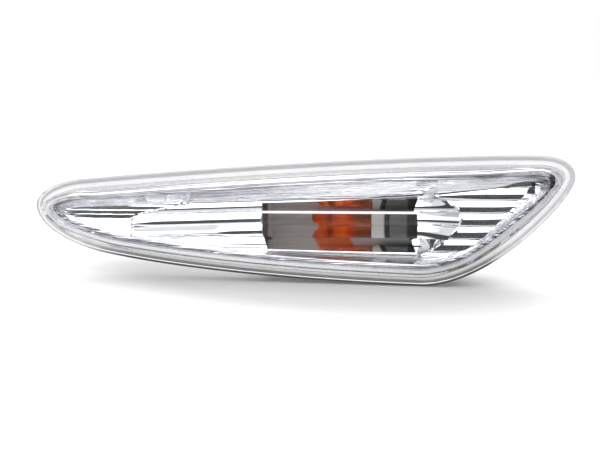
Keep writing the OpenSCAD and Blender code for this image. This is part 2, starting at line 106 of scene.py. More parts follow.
# Outlines of the border and the floor: seven curves each, as shares of half the length and height.
FINE = 8
STEPS = [6, 14, 6, 6, 5, 21, 6]
BORDER_CURVE = [
    [(-1, 0.113), (-1, -0.186), (-0.8875, -0.474), (-0.75, -0.598)],
    [(-0.75, -0.598), (-0.45, -0.845), (0.05, -0.979), (0.45, -1)],
    [(0.45, -1), (0.5625, -1), (0.7025, -0.711), (0.825, -0.258)],
    [(0.825, -0.258), (0.89, -0.015), (0.97, 0.325), (0.995, 0.577)],
    [(0.995, 0.577), (1.015, 0.794), (0.97, 1), (0.875, 1)],
    [(0.875, 1), (0.5, 1), (-0.25, 0.784), (-0.825, 0.536)],
    [(-0.825, 0.536), (-0.9025, 0.5), (-1, 0.356), (-1, 0.113)],
]
FLOOR_CURVE = [
    [(-0.915, 0.015), (-0.9075, -0.124), (-0.825, -0.304), (-0.725, -0.397)],
    [(-0.725, -0.397), (-0.475, -0.588), (0, -0.567), (0.45, -0.552)],
    [(0.45, -0.552), (0.5375, -0.552), (0.606, -0.51), (0.644, -0.361)],
    [(0.644, -0.361), (0.7, -0.129), (0.7725, 0.186), (0.82, 0.443)],
    [(0.82, 0.443), (0.855, 0.55), (0.84, 0.6), (0.8, 0.575)],
    [(0.8, 0.575), (0.5, 0.235), (-0.225, 0.19), (-0.725, 0.105)],
    [(-0.725, 0.105), (-0.8, 0.093), (-0.9075, 0.084), (-0.915, 0.015)],
]


def traced(curve):
    """Points along the seven curves, in mm."""
    out = []
    for p, steps in zip(curve, STEPS):
        p = np.array(p, float) * (HALF_L, HALF_H)
        t = (np.arange(steps * FINE) / (steps * FINE))[:, None]
        s = 1 - t
        out.append(s ** 3 * p[0] + 3 * s ** 2 * t * p[1] + 3 * s * t ** 2 * p[2] + t ** 3 * p[3])
    return np.vstack(out)


def inset(points, d):
    """The outline moved inwards by d, square to itself."""
    along = np.roll(points, -FINE // 2, 0) - np.roll(points, FINE // 2, 0)
    along /= np.linalg.norm(along, axis=1)[:, None]
    return points + d * np.stack([-along[:, 1], along[:, 0]], 1)


def nearest(p, outline):
    """Nearest point of a closed outline to each of the points p."""
    a, b = outline, np.roll(outline, -1, 0)
    ab = b - a
    t = ((p[:, None] - a) * ab).sum(2) / (ab * ab).sum(1)
    spots = a + np.clip(t, 0, 1)[..., None] * ab
    k = np.linalg.norm(p[:, None] - spots, axis=2).argmin(1)
    return spots[np.arange(len(p)), k]


def kept_inside(points, outline, d):
    """The points, those nearer than d to the outline moved straight away from it."""
    spots = nearest(points, outline)
    way = points - spots
    gap = np.linalg.norm(way, axis=1)
    moved = spots + d * way / gap[:, None]
    return np.where((gap < d)[:, None], moved, points)


def smoothed(points, rounds):
    """A closed outline with small kinks evened out."""
    for _ in range(rounds):
        points = (np.roll(points, 1, 0) + 2 * points + np.roll(points, -1, 0)) / 4
    return points


# The spine is the line that the crown of the dome closes on; WAY points from the dome's foot to it.
BORDER = traced(BORDER_CURVE)
COUNT = len(BORDER)
HALF = COUNT // 2
FLOOR_EDGE = smoothed(kept_inside(traced(FLOOR_CURVE), BORDER, TUB_IN + TUB_GAP + WALL_T), 20)
FOOT = inset(BORDER, BORDER_W)
PAIR = (COUNT - np.arange(COUNT)) % COUNT
MIDDLES = ((FOOT + FOOT[PAIR]) / 2)[:HALF + 1]
SPINE_X0, SPINE_X1 = -0.71 * HALF_L, 0.63 * HALF_L
DRAW_X = [MIDDLES[0, 0], SPINE_X0, SPINE_X1, MIDDLES[-1, 0]]
DRAW_TO = [-0.825 * HALF_L, SPINE_X0, SPINE_X1, 0.75 * HALF_L]
SPINE_X = np.interp(MIDDLES[np.minimum(np.arange(COUNT), PAIR), 0], DRAW_X, DRAW_TO)
SPINE = np.stack([SPINE_X, np.interp(SPINE_X, MIDDLES[:, 0], MIDDLES[:, 1])], 1)
WAY = (SPINE - FOOT) / np.linalg.norm(SPINE - FOOT, axis=1)[:, None]


def ring(w):
    """The outline at a distance w inside the border."""
    return inset(BORDER, w) if w <= BORDER_W else FOOT + (w - BORDER_W) * WAY


def at_depth(points, y):
    """An outline as 3D points at depth y, which is one number or one for each point."""
    return np.stack([points[:, 0], np.broadcast_to(y, len(points)), points[:, 1]], 1)


def floor_at(x):
    """Depth of the flute valleys along the lamp."""
    return np.interp(x, [p[0] for p in FLOOR_LINE], [p[1] for p in FLOOR_LINE])


def flute_lift(x):
    """How far the flutes have climbed at a place along the lamp."""
    return (x - WINDOW_MID) * SLOPE + FALL * np.minimum(x - WINDOW_X0, 0)


def flute_place(x, z):
    """Which flute a point is on, and where across it: -1 and 1 at the valleys, 0 halfway."""
    off = (z - FLUTE_ZERO - flute_lift(x)) / PITCH
    band = np.floor(off)
    return band, 2 * (off - band) - 1


def round_flute(x, z):
    """How far the window's round flutes stand in front of their valleys."""
    off = flute_place(x, z)[1] * PITCH / 2
    return np.sqrt(FLUTE_R ** 2 - off ** 2) - (FLUTE_R - FLUTE_H)


def ridge(t, crest_r, steep, lean, pitch=PITCH):
    """How far a flute with a tight or wide crest stands in front of its valleys."""
    t = (t - lean) / (1 - np.sign(t - lean) * lean)
    a = crest_r * steep ** 2
    side = steep * pitch / 2
    return np.sqrt(a ** 2 + side ** 2) - np.sqrt(a ** 2 + (side * t) ** 2)


def new_object(name, verts, faces, body, angle, looks=None):
    """A mesh object from points in mm, riding on a CAD body; looks says which material each face has."""
    mesh = bpy.data.meshes.new(name)
    mesh.from_pydata((np.asarray(verts) * MM).tolist(), [], [tuple(map(int, f)) for f in faces])
    if looks is not None:
        mesh.polygons.foreach_set("material_index", looks)
    bm = bmesh.new()
    bm.from_mesh(mesh)
    bmesh.ops.remove_doubles(bm, verts=bm.verts, dist=1e-7)
    bmesh.ops.dissolve_degenerate(bm, edges=bm.edges, dist=1e-7)
    bmesh.ops.recalc_face_normals(bm, faces=bm.faces)
    bm.to_mesh(mesh)
    bm.free()
    mesh.update()
    obj = bpy.data.objects.new(name, mesh)
    scene.collection.objects.link(obj)
    mesh.shade_smooth()
    mesh.set_sharp_from_angle(angle=math.radians(angle))
    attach(obj, body)
    return obj


def skin(rings, closed=False):
    """Quads through a list of rings, and strips over both open ends."""
    n, m = len(rings[0]), len(rings)
    i = np.arange(n)
    j = (i + 1) % n
    faces = []
    for k in range(m if closed else m - 1):
        a, b = k * n, ((k + 1) % m) * n
        faces += np.stack([a + i, b + i, b + j, a + j], 1).tolist()
    if not closed:
        h = n // 2
        for base in (0, (m - 1) * n):
            faces += [[base + q for q in (k, k + 1, n - k - 1, n - k)] for k in range(1, h - 1)]
            faces += [[base + q for q in (0, 1, n - 1)], [base + q for q in (h - 1, h, h + 1)]]
    return np.vstack(rings), faces


def spread(rows, parts):
    """Smooth in-between rows for a short table of numbers."""
    rows = np.array(rows, float)
    ends = np.vstack([2 * rows[0] - rows[1], rows, 2 * rows[-1] - rows[-2]])
    out = []
    for k in range(len(rows) - 1):
        p0, p1, p2, p3 = ends[k:k + 4]
        for t in np.arange(parts) / parts:
            out.append(0.5 * (2 * p1 + (p2 - p0) * t + (2 * p0 - 5 * p1 + 4 * p2 - p3) * t ** 2
                              + (3 * p1 - p0 - 3 * p2 + p3) * t ** 3))
    return np.array(out + [rows[-1]])


def dome_rings(profile):
    """Rings from rows of width in from the border, share of the way to the spine, and depth."""
    out = []
    for w, q, y in profile:
        r = ring(w)
        out.append(at_depth(r + q * (SPINE - r), y))
    return out


def crown(w, top, sag):
    """Rows for the flat arch of the dome, from the width w to the spine."""
    shares = (0.08, 0.18, 0.3, 0.43, 0.56, 0.69, 0.8, 0.9)
    return [(w, q, top + sag * (1 - q) ** 2) for q in shares]


def build_lens():
    """The clear lens: a hollow dome on a flat border, with a shallow groove in its rear for the seam."""
    back, front = LENS_BACK, -LENS_FRONT
    crown_w, hollow_w = 6.2, LENS_INNER + 2.4
    edge_parts, side_parts, grey_parts = 3, 5, 13
    weld = [(WELD_IN + WELD_H, 0, back), (WELD_IN, 0, back - WELD_H),
            (WELD_OUT, 0, back - WELD_H), (WELD_OUT - WELD_H, 0, back)]
    edge = spread([(0.5, 0, back), (0.2, 0, back - 0.14), (0.08, 0, back - 0.5),
                   (0.08, 0, BORDER_FRONT + 0.7), (0.26, 0, BORDER_FRONT + 0.2),
                   (0.8, 0, BORDER_FRONT)], edge_parts)
    foot = [(1.6, 0, BORDER_FRONT), (BORDER_W - 0.5, 0, BORDER_FRONT),
            (BORDER_W - 0.12, 0, BORDER_FRONT - 0.1), (BORDER_W, 0, BORDER_FRONT - 0.45)]
    side = spread([(3.02, 0, BORDER_FRONT - 0.6), (3.1, 0, front + 5.2), (3.25, 0, front + 3.6),
                   (3.55, 0, front + 2.6), (4.15, 0, front + 1.65), (5.1, 0, front + 0.92),
                   (crown_w, 0, front + 0.62)], side_parts)
    outer = weld + list(edge) + foot + list(side) + crown(crown_w, front, 0.6)
    lo = front + LENS_WALL
    hollow = spread([(LENS_INNER, 0, back), (LENS_INNER + 0.15, 0, lo + 4.4),
                     (LENS_INNER + 0.3, 0, lo + 3), (LENS_INNER + 0.75, 0, lo + 1.75),
                     (LENS_INNER + 1.5, 0, lo + 1.05), (hollow_w, 0, lo + 0.72)], side_parts)
    inner = list(hollow) + crown(hollow_w, lo, 0.68)
    rings = dome_rings(inner[::-1] + outer)
    verts, faces = skin(rings)

    looks = np.zeros(len(faces), np.int32)
    strips = looks[:(len(rings) - 1) * COUNT].reshape(-1, COUNT)
    at_weld = len(inner)
    at_edge = at_weld + len(weld)
    at_round = at_edge + 4 * edge_parts
    at_grey = at_edge + len(edge) + len(foot) + side_parts
    strips[at_weld:at_weld + 3] = ON_WELD
    strips[at_edge:at_round] = ON_EDGE
    # The lower side's rounding also gets the edge material and its painted shade.
    strips[at_round:at_round + edge_parts, BORDER[:, 1] < LOWER_Z + 6] = ON_EDGE
    # The dome's steep side gets the material tinted with painted shade.
    strips[at_grey:at_grey + grey_parts] = ON_SIDE
    lens = new_object("lens_clear", verts, faces, LAMP, 50, looks)
    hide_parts("lens")
    return lens


def crease_x(z):
    """Where the part of the floor beside the window meets the outer part, along the lamp."""
    return WINDOW_X1 + 13.0 - np.where(z < 0.7, 0.09, 0.19) * (z - 0.7) ** 2


def facet_x(z):
    """Where the tip's part of the floor ends, along the lamp."""
    up = np.maximum(z + 1.68, 0)
    return WINDOW_X0 - 39.8 + 1.2 * up + 0.57 * up ** 2


def eased(t):
    """t held between 0 and 1, with a soft start and end."""
    t = np.clip(t, 0, 1)
    return t * t * (3 - 2 * t)


def between(a, b, share):
    """From a to b by a share of the way."""
    return a + (b - a) * share


def tip_flutes(z):
    """Narrow flutes on the tip's part of the floor, and the slope under them."""
    off = (z - TIP_CREST) / TIP_PITCH + 0.5
    narrow = ridge(2 * (off - np.floor(off)) - 1, 2.3, 0.8, 0.0, TIP_PITCH)
    under = TIP_CREST - TIP_PITCH / 2
    return np.where(z > under, narrow, 0.16 * (under - z))


def outer_floor(x):
    """Depth of the flute valleys beyond the crease."""
    ends = [FLOOR_LINE[3][1] + 0.35, FLOOR_LINE[4][1]]
    return np.interp(x, [WINDOW_X1, FLOOR_LINE[4][0]], ends)


def valleys(x, crease):
    """Depth of the flute valleys, which fall to a crease to the right of the window."""
    share = np.clip((x - WINDOW_X1) / (crease - WINDOW_X1), 0, 1)
    ramp = between(FLOOR_DEPTH, outer_floor(crease), share ** 1.25)
    return np.where(x <= WINDOW_X1, floor_at(x), np.where(x < crease, ramp, outer_floor(x)))


def floor_y(x, z, flutes=1):
    """Depth of the reflector's floor, with flutes 1 or without them 0.

    The crests are the radii in mm at the top of a flute, which differ from flute to flute and along it.
    """
    land = LAND_H * np.clip((x - LAND_X0) / (LAND_X1 - LAND_X0), 0, 1) ** 2 * (x < LAND_X1)
    z = np.minimum(z, np.interp(x, TOP_X, TOP_Z) - land)
    crease, facet = crease_x(z), facet_x(z)
    band, t = flute_place(x, z)
    low_crest = 0.5 + 2.3 * eased((x + 27) / 6)
    wide_crest = 0.6 + 2.7 * eased((x + 52) / 9)
    flat_crest = 5.0 - 3.4 * (1 - eased((x - 39) / 16)) * eased((z - 4) / 1.5)
    fine = ridge(t, np.where(band == LOW_BAND, low_crest, 1.4), 0.8, FINE_LEAN)
    wide = ridge(t, wide_crest, 0.7, WIDE_LEAN)
    flat = ridge(t, flat_crest, 0.5, WIDE_LEAN)
    merge = 1.2 - 0.6 * eased((-1.7 - z) / 0.8)
    beyond_tip = eased((x - facet) / merge)
    left = between(tip_flutes(z), np.where(band == MIDDLE_BAND, wide, fine), beyond_tip)
    right = between(fine, flat, eased((x - crease + 0.3) / 0.6))
    ridges = np.where(x < WINDOW_X0, left, np.where(x > WINDOW_X1, right, fine))
    return valleys(x, crease) - flutes * ridges


def outline_span(outline, xs):
    """Lowest and highest z of an outline at each x."""
    lo, hi = np.full(len(xs), np.inf), np.full(len(xs), -np.inf)
    a, b = outline, np.roll(outline, -1, 0)
    for p, q in zip(a, b):
        x0, x1 = sorted((p[0], q[0]))
        hit = (xs >= x0) & (xs <= x1)
        if x1 - x0 < 1e-9 or not hit.any():
            continue
        z = p[1] + (q[1] - p[1]) * (xs[hit] - p[0]) / (q[0] - p[0])
        lo[hit] = np.minimum(lo[hit], z)
        hi[hit] = np.maximum(hi[hit], z)
    return lo, hi


TOP_X = np.linspace(FLOOR_EDGE[:, 0].min() + 0.01, FLOOR_EDGE[:, 0].max() - 0.01, 400)
TOP_Z = outline_span(FLOOR_EDGE, TOP_X)[1]


def flute_rows(per_flute):
    """Heights at the lamp's middle where a floor grid has its lines."""
    k = np.arange(-4 * per_flute, 4 * per_flute + 1)
    return FLUTE_ZERO + k * PITCH / per_flute


def sheet_patch(xs, lo, hi, back, per_flute=14, left=None, right=None, face=floor_y, lift=0.0):
    """A fluted plate over the columns xs, between the heights lo and hi, closed all round.

    Its rear is at the depth back, or follows the floor where back is None.
    """
    rows = flute_rows(per_flute)
    z = rows[None, :] + flute_lift(xs)[:, None]
    z = np.clip(z, lo[:, None], hi[:, None])
    x = np.repeat(xs[:, None], len(rows), 1)
    share = (xs[:, None] - xs[0]) / (xs[-1] - xs[0])
    if left is not None:
        x = x + left(z) * (1 - share)
    if right is not None:
        x = x + right(z) * share
    front = np.stack([x, face(x, z) - lift, z], 2)
    rear = front.copy()
    rear[..., 1] = back if back is not None else floor_y(x, z, 0) + REFLECTOR_T
    n, m = x.shape
    verts = np.vstack([front.reshape(-1, 3), rear.reshape(-1, 3)])
    i, j = np.meshgrid(np.arange(n - 1), np.arange(m - 1), indexing="ij")
    a = (i * m + j).ravel()
    quads = np.stack([a, a + 1, a + m + 1, a + m], 1)
    f = n * m
    faces = quads.tolist() + (quads[:, ::-1] + f).tolist()
    e = np.arange(m - 1)
    for base in (0, (n - 1) * m):
        faces += np.stack([base + e, base + e + 1, base + e + 1 + f, base + e + f], 1).tolist()
    e = np.arange(n - 1) * m
    for base in (0, m - 1):
        faces += np.stack([base + e, base + e + m, base + e + m + f, base + e + f], 1).tolist()
    return verts, faces


def join(parts):
    """Several (points, faces) as one."""
    verts, faces, n = [], [], 0
    for v, f in parts:
        verts.append(v)
        faces += [[q + n for q in face] for face in f]
        n += len(v)
    return np.vstack(verts), faces


def window_left(z):
    """The window's left end leans at its foot."""
    return np.clip((-5.5 - z) / 4.5, 0, 1) * 1.6


def window_right(z):
    """The window's right end is notched, each band of it in its own way."""
    up = (z - FLUTE_ZERO - (WINDOW_X1 - WINDOW_MID) * SLOPE) / PITCH
    notches = [(-3, -0.6), (-2.1, -1.8), (-2, -0.05), (-1.05, 0),
               (-1, 0), (-0.1, -0.1), (0, -1.3), (1, -0.1)]
    return np.interp(up, [p[0] for p in notches], [p[1] for p in notches])


def window_face(x, z):
    """Depth of the window lens's fluted front."""
    return FLOOR_DEPTH - round_flute(x, z)


def reflector_wall():
    """The reflector's rim and sloping wall, down to under its floor."""
    depth = floor_y(FLOOR_EDGE[:, 0], FLOOR_EDGE[:, 1], 0)
    under = inset(FLOOR_EDGE, -WALL_T)
    rim, out_ring = ring(RIM_IN), ring(RIM_OUT)
    front = LENS_BACK - RIM_T
    chamfer, bulge, lip, sill = 0.15, 0.13, 0.12, 0.1
    drop = depth - sill - front - lip
    wall = [at_depth(out_ring, LENS_BACK), at_depth(out_ring, front + chamfer),
            at_depth(out_ring + chamfer * WAY, front), at_depth(rim - 0.25 * WAY, front),
            at_depth(rim, front + lip)]
    for t in (0.08, 0.18, 0.3, 0.44, 0.58, 0.72, 0.85, 0.94):
        down = t + bulge * math.sin(math.pi * t)
        wall.append(at_depth(rim + t * (FLOOR_EDGE - rim), front + lip + down * drop))
    rear = depth + REFLECTOR_T + sill
    wall += [at_depth(FLOOR_EDGE, depth - sill), at_depth(FLOOR_EDGE, rear),
             at_depth(under, rear), at_depth(ring(TUB_IN + TUB_GAP), LENS_BACK)]
    return skin(wall, closed=True)


def build_reflector():
    """The bright tray: a fluted floor in several plates, and the rim with its sloping wall."""
    into_wall, slack, columns = 0.45, 0.02, 125
    grown = inset(FLOOR_EDGE, -into_wall)
    x_lo, x_hi = grown[:, 0].min() + slack, grown[:, 0].max() - slack
    left = np.linspace(x_lo, WINDOW_X0, columns)
    middle = np.linspace(WINDOW_X0, WINDOW_X1, 40)
    right = np.linspace(WINDOW_X1, x_hi, columns)
    parts = [sheet_patch(xs, *outline_span(grown, xs), None) for xs in (left, right)]
    lo, hi = outline_span(grown, middle)
    window_lo, window_hi = outline_span(FLOOR_EDGE, middle)
    parts.append(sheet_patch(middle, lo, window_lo + LEDGE, None))
    parts.append(sheet_patch(middle, window_hi - LEDGE, hi, None))
    # The frame over the window's ends: the right one is notched, the left one leans.
    frame_w = 0.6
    for x0, x1, shape in ((WINDOW_X1, WINDOW_X1 + frame_w, {"left": window_right}),
                          (WINDOW_X0 - frame_w, WINDOW_X0, {"right": window_left})):
        end = np.linspace(x0, x1, 4)
        parts.append(sheet_patch(end, *outline_span(FLOOR_EDGE, end), FLOOR_DEPTH, lift=0.12, **shape))
    parts.append(reflector_wall())
    verts, faces = join(parts)
    looks = np.zeros(len(faces), np.int32)
    wall_at = len(faces) - len(parts[-1][1])
    looks[wall_at:] = ON_WALL
    looks[wall_at:wall_at + 5 * COUNT] = ON_RIM
    reflector = new_object("reflector_bright", verts, faces, LAMP, 32, looks)
    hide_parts("reflector")
    return reflector


def build_window():
    """The clear fluted insert behind the window."""
    gap, seat_gap, plate_t = 0.02, 0.1, 0.7
    xs = np.linspace(WINDOW_X0 + gap, WINDOW_X1 - gap, 30)
    lo, hi = outline_span(FLOOR_EDGE, xs)
    back = FLOOR_DEPTH + REFLECTOR_T + seat_gap + plate_t
    verts, faces = sheet_patch(xs, lo + LEDGE + gap, hi - LEDGE - gap, back, 20, face=window_face)
    window = new_object("window_clear", verts, faces, LAMP, 32)
    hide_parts("window_lens")
    return window


def parts_of(m):
    """A material's node tree and its main shader."""
    return m.node_tree, m.node_tree.nodes["Principled BSDF"]


def put(socket, value):
    """Set a socket; a colour is given without its fourth number."""
    socket.default_value = (*value, 1) if socket.type == "RGBA" else value


def material(name, **inputs):
    """A new material, its node tree and its main shader with some inputs set."""
    m = bpy.data.materials.new(name)
    m.use_nodes = True
    t, b = parts_of(m)
    for key, value in inputs.items():
        put(b.inputs[key.replace("_", " ")], value)
    return m, t, b


def add(tree, kind, **values):
    """A new node; each value is a setting of it or an input."""
    node = tree.nodes.new(kind)
    for key, value in values.items():
        if hasattr(node, key):
            setattr(node, key, value)
        else:
            put(node.inputs[key], value)
    return node


def calc(tree, operation, *terms):
    """Several outputs or numbers put together from the left by one operation."""
    total = terms[0]
    for term in terms[1:]:
        node = add(tree, "ShaderNodeMath", operation=operation)
        for socket, v in zip(node.inputs, (total, term)):
            if isinstance(v, (int, float)):
                socket.default_value = v
            else:
                tree.links.new(v, socket)
        total = node.outputs[0]
    return total


def product(tree, *factors):
    """All the factors multiplied."""
    return calc(tree, "MULTIPLY", *factors)


def mapped(tree, kind, value, low, high, to_low, to_high):
    """A value's place between low and high, as a number from to_low to to_high."""
    step = add(tree, "ShaderNodeMapRange", interpolation_type=kind)
    for key, v in (("From Min", low), ("From Max", high), ("To Min", to_low), ("To Max", to_high)):
        step.inputs[key].default_value = v
    tree.links.new(value, step.inputs["Value"])
    return step.outputs["Result"]


def smooth_step(tree, value, low, high, to_low=0.0, to_high=1.0):
    """Softly from to_low to to_high as the value goes from low to high."""
    return mapped(tree, "SMOOTHSTEP", value, low, high, to_low, to_high)


def even_step(tree, value, low, high, to_low=0.0, to_high=1.0):
    """Evenly from to_low to to_high as the value goes from low to high."""
    return mapped(tree, "LINEAR", value, low, high, to_low, to_high)


def ramp_along(tree, value, stops):
    """A colour by the value, through the stops of place and colour."""
    ramp = add(tree, "ShaderNodeValToRGB")
    while len(ramp.color_ramp.elements) < len(stops):
        ramp.color_ramp.elements.new(1.0)
    for element, (place, color) in zip(ramp.color_ramp.elements, stops):
        element.position, element.color = place, (*color, 1)
    tree.links.new(value, ramp.inputs["Fac"])
    return ramp.outputs["Color"]


def blend(tree, factor, a, b):
    """Colour a where the factor is 0 and b where it is 1; each is a colour or an output."""
    mix = add(tree, "ShaderNodeMix", data_type="RGBA")
    tree.links.new(factor, mix.inputs["Factor"])
    for key, v in (("A", a), ("B", b)):
        socket = [q for q in mix.inputs if q.name == key and q.type == "RGBA"][0]
        if isinstance(v, tuple):
            put(socket, v)
        else:
            tree.links.new(v, socket)
    return [q for q in mix.outputs if q.type == "RGBA"][0]


def mix_shaders(tree, factor, a, b):
    """Shader a where the factor is 0 and b where it is 1."""
    mix = add(tree, "ShaderNodeMixShader")
    for socket, output in zip(mix.inputs, (factor, a, b)):
        tree.links.new(output, socket)
    return mix.outputs[0]


def object_place(tree):
    """Where a point lies on its object."""
    return add(tree, "ShaderNodeTexCoord").outputs["Object"]


def split(tree, vector):
    """The x, y and z of a vector."""
    sep = add(tree, "ShaderNodeSeparateXYZ")
    tree.links.new(vector, sep.inputs["Vector"])
    return sep.outputs["X"], sep.outputs["Y"], sep.outputs["Z"]


def vector_length(tree, vector):
    """How long a vector is."""
    node = add(tree, "ShaderNodeVectorMath", operation="LENGTH")
    tree.links.new(vector, node.inputs[0])
    return node.outputs["Value"]


def off_axis(tree, a, b):
    """How far from an axis a point lies, by how far it lies from it each way."""
    point = add(tree, "ShaderNodeCombineXYZ")
    tree.links.new(a, point.inputs["X"])
    tree.links.new(b, point.inputs["Y"])
    return vector_length(tree, point.outputs[0])


def past(tree, value, edge):
    """How far a value in metres lies past an edge in mm, and 0 before it."""
    return calc(tree, "MAXIMUM", calc(tree, "SUBTRACT", value, edge * MM), 0.0)


def noise_over(tree, vector, scale, detail):
    """Noise by place."""
    noise = add(tree, "ShaderNodeTexNoise", Scale=scale, Detail=detail)
    tree.links.new(vector, noise.inputs["Vector"])
    return noise.outputs["Fac"]


def uneven(tree, bsdf, noise, strength, distance):
    """Fine unevenness of a moulded or rolled surface."""
    bump = add(tree, "ShaderNodeBump", Strength=strength, Distance=distance)
    tree.links.new(noise, bump.inputs["Height"])
    tree.links.new(bump.outputs["Normal"], bsdf.inputs["Normal"])


def patch(tree, x, z, center, size, soft):
    """1 inside an upright box round a place on the lamp's front, 0 outside; sizes in mm."""
    sides = []
    for value, c, half in ((x, center[0], size[0] / 2), (z, center[1], size[1] / 2)):
        low = smooth_step(tree, value, (c - half - soft) * MM, (c - half) * MM)
        high = smooth_step(tree, value, (c + half + soft) * MM, (c + half) * MM)
        sides.append(product(tree, low, high))
    return product(tree, *sides)


def lets_light_in(tree, surface, tint):
    """The surface as it is to the eye, and plain clear to the light that falls on what is behind it."""
    path = add(tree, "ShaderNodeLightPath").outputs
    light = calc(tree, "MAXIMUM", path["Is Shadow Ray"], path["Is Diffuse Ray"])
    clear = add(tree, "ShaderNodeBsdfTransparent", Color=tint)
    both = mix_shaders(tree, light, surface, clear.outputs[0])
    tree.links.new(both, tree.nodes["Material Output"].inputs["Surface"])


def clear_plastic(name, color, shine=1.0):
    """Clear plastic or glass with a faint ripple; shine below 1 dims its mirror image."""
    m, t, b = material(name, Base_Color=color, Transmission_Weight=1, IOR=1.49, Roughness=0.0,
                       Specular_Tint=(shine, shine, shine))
    uneven(t, b, noise_over(t, object_place(t), 90, 2), 0.02, 0.0002)
    lets_light_in(t, b.outputs[0], (0.97, 0.97, 0.97))
    return m


def solid(name, dark, light, gloss, scale=300, bump=0.15, distance=0.0002, metal=0.0, fine=2500):
    """A material whose colour and gloss vary a little over a finely uneven surface."""
    m, t, b = material(name, Metallic=metal)
    place = object_place(t)
    uneven(t, b, noise_over(t, place, fine, 4), bump, distance)
    tone = ramp_along(t, noise_over(t, place, scale, 5), [(0.35, dark), (0.65, light)])
    t.links.new(tone, b.inputs["Base Color"])
    rough = even_step(t, noise_over(t, place, scale * 2, 3), 0.0, 1.0, *gloss)
    t.links.new(rough, b.inputs["Roughness"])
    return m


def color_so_far(bsdf):
    """The output that gives a shader its colour."""
    return bsdf.inputs["Base Color"].links[0].from_socket


def bend_shade(tree, x, z):
    """1 where shade is painted on the bend at the lamp's broad end, 0 off it and on a painted highlight
    arc along it.
    """
    away = off_axis(tree, past(tree, x, BEND_X), past(tree, z, BEND_Z))
    arc = product(tree, smooth_step(tree, away, (ARC_R - 0.45) * MM, (ARC_R - 0.25) * MM),
                  smooth_step(tree, away, (ARC_R + 0.45) * MM, (ARC_R + 0.25) * MM))
    return product(tree, smooth_step(tree, away, 2.0 * MM, 3.4 * MM),
                   smooth_step(tree, x, 62 * MM, 67 * MM), smooth_step(tree, z, 8.4 * MM, 9.6 * MM),
                   calc(tree, "SUBTRACT", 1.0, arc))


def streaked_chrome(name, rim):
    """Metallised walls with the fine lengthwise ripple of the mould; the rim is darker at both ends as
    painted reflection, and the broad end has painted shade and two nearly black painted spots.
    """
    m, t, b = material(name, Metallic=1, Roughness=0.14)
    drawn_out = add(t, "ShaderNodeMapping", Scale=(11, 800, 800))
    t.links.new(object_place(t), drawn_out.inputs["Vector"])
    uneven(t, b, noise_over(t, drawn_out.outputs["Vector"], 1.0, 2), 0.9, 0.0006)
    x, _, z = split(t, object_place(t))
    tone = (0.88, 0.88, 0.9)
    # Painted reflection: the rim is darker at both ends.
    if rim:
        tone = ramp_along(t, even_step(t, x, -HALF_L * MM, HALF_L * MM), [
            (0.0, (0.4, 0.4, 0.44)), (0.14, (0.45, 0.45, 0.49)), (0.3, (0.68, 0.68, 0.71)),
            (0.66, (0.6, 0.6, 0.63)), (0.82, (0.3, 0.3, 0.33)), (1.0, (0.38, 0.38, 0.42))])
    # Painted shade on the bend at the broad end.
    tone = blend(t, bend_shade(t, x, z), tone, (0.3, 0.3, 0.33))
    # Painted dark reflection: two nearly black spots at the broad end.
    painted_dark_spots = calc(t, "MAXIMUM", patch(t, x, z, (66.9, 9.9), (2.8, 3.2), 0.4),
                  patch(t, x, z, (74.6, 12.0), (2.4, 3.6), 1.2))
    t.links.new(blend(t, painted_dark_spots, tone, (0.05, 0.05, 0.06)), b.inputs["Base Color"])
    return m


def lens_edge():
    """The lens's matt outer edge, with painted shade that makes it nearly black along the lower side."""
    m = solid("clear_lens_edge", (0.8, 0.8, 0.81), (0.86, 0.86, 0.87), (0.3, 0.45),
              scale=120, bump=0.1, distance=0.0001)
    t, b = parts_of(m)
    _, _, z = split(t, object_place(t))
    # Painted shade: the edge is nearly black along the lower side.
    low = smooth_step(t, z, (LOWER_Z + 3) * MM, (LOWER_Z - 1) * MM)
    t.links.new(blend(t, low, color_so_far(b), (0.07, 0.07, 0.07)), b.inputs["Base Color"])
    return m


def lens_weld():
    """The white seam by which the lens is welded to the housing; it glows with painted light, more
    towards the top.
    """
    m = solid("clear_lens_weld", (0.86, 0.86, 0.87), (0.92, 0.92, 0.93), (0.4, 0.55),
              scale=200, bump=0.2, distance=0.0001)
    t, b = parts_of(m)
    _, _, z = split(t, object_place(t))
    # Painted light: the seam glows, more towards the top.
    put(b.inputs["Emission Color"], (1, 1, 1))
    t.links.new(smooth_step(t, z, -14 * MM, -3 * MM, 0.06, 0.24), b.inputs["Emission Strength"])
    return m


def lens_side():
    """The steep side of the dome, tinted grey with painted shade, most of all at the broad end."""
    m = clear_plastic("clear_lens_side", (0.7, 0.7, 0.72), LENS_SHINE)
    t, b = parts_of(m)
    x, _, _ = split(t, object_place(t))
    # Painted shade: a grey tint along the lamp, darkest towards the broad end.
    tone = ramp_along(t, even_step(t, x, -HALF_L * MM, HALF_L * MM), [
        (0.0, (0.66, 0.66, 0.68)), (0.3, (0.7, 0.7, 0.72)), (0.6, (0.6, 0.6, 0.62)),
        (0.8, (0.3, 0.3, 0.32)), (1.0, (0.45, 0.45, 0.47))])
    t.links.new(tone, b.inputs["Base Color"])
    return m


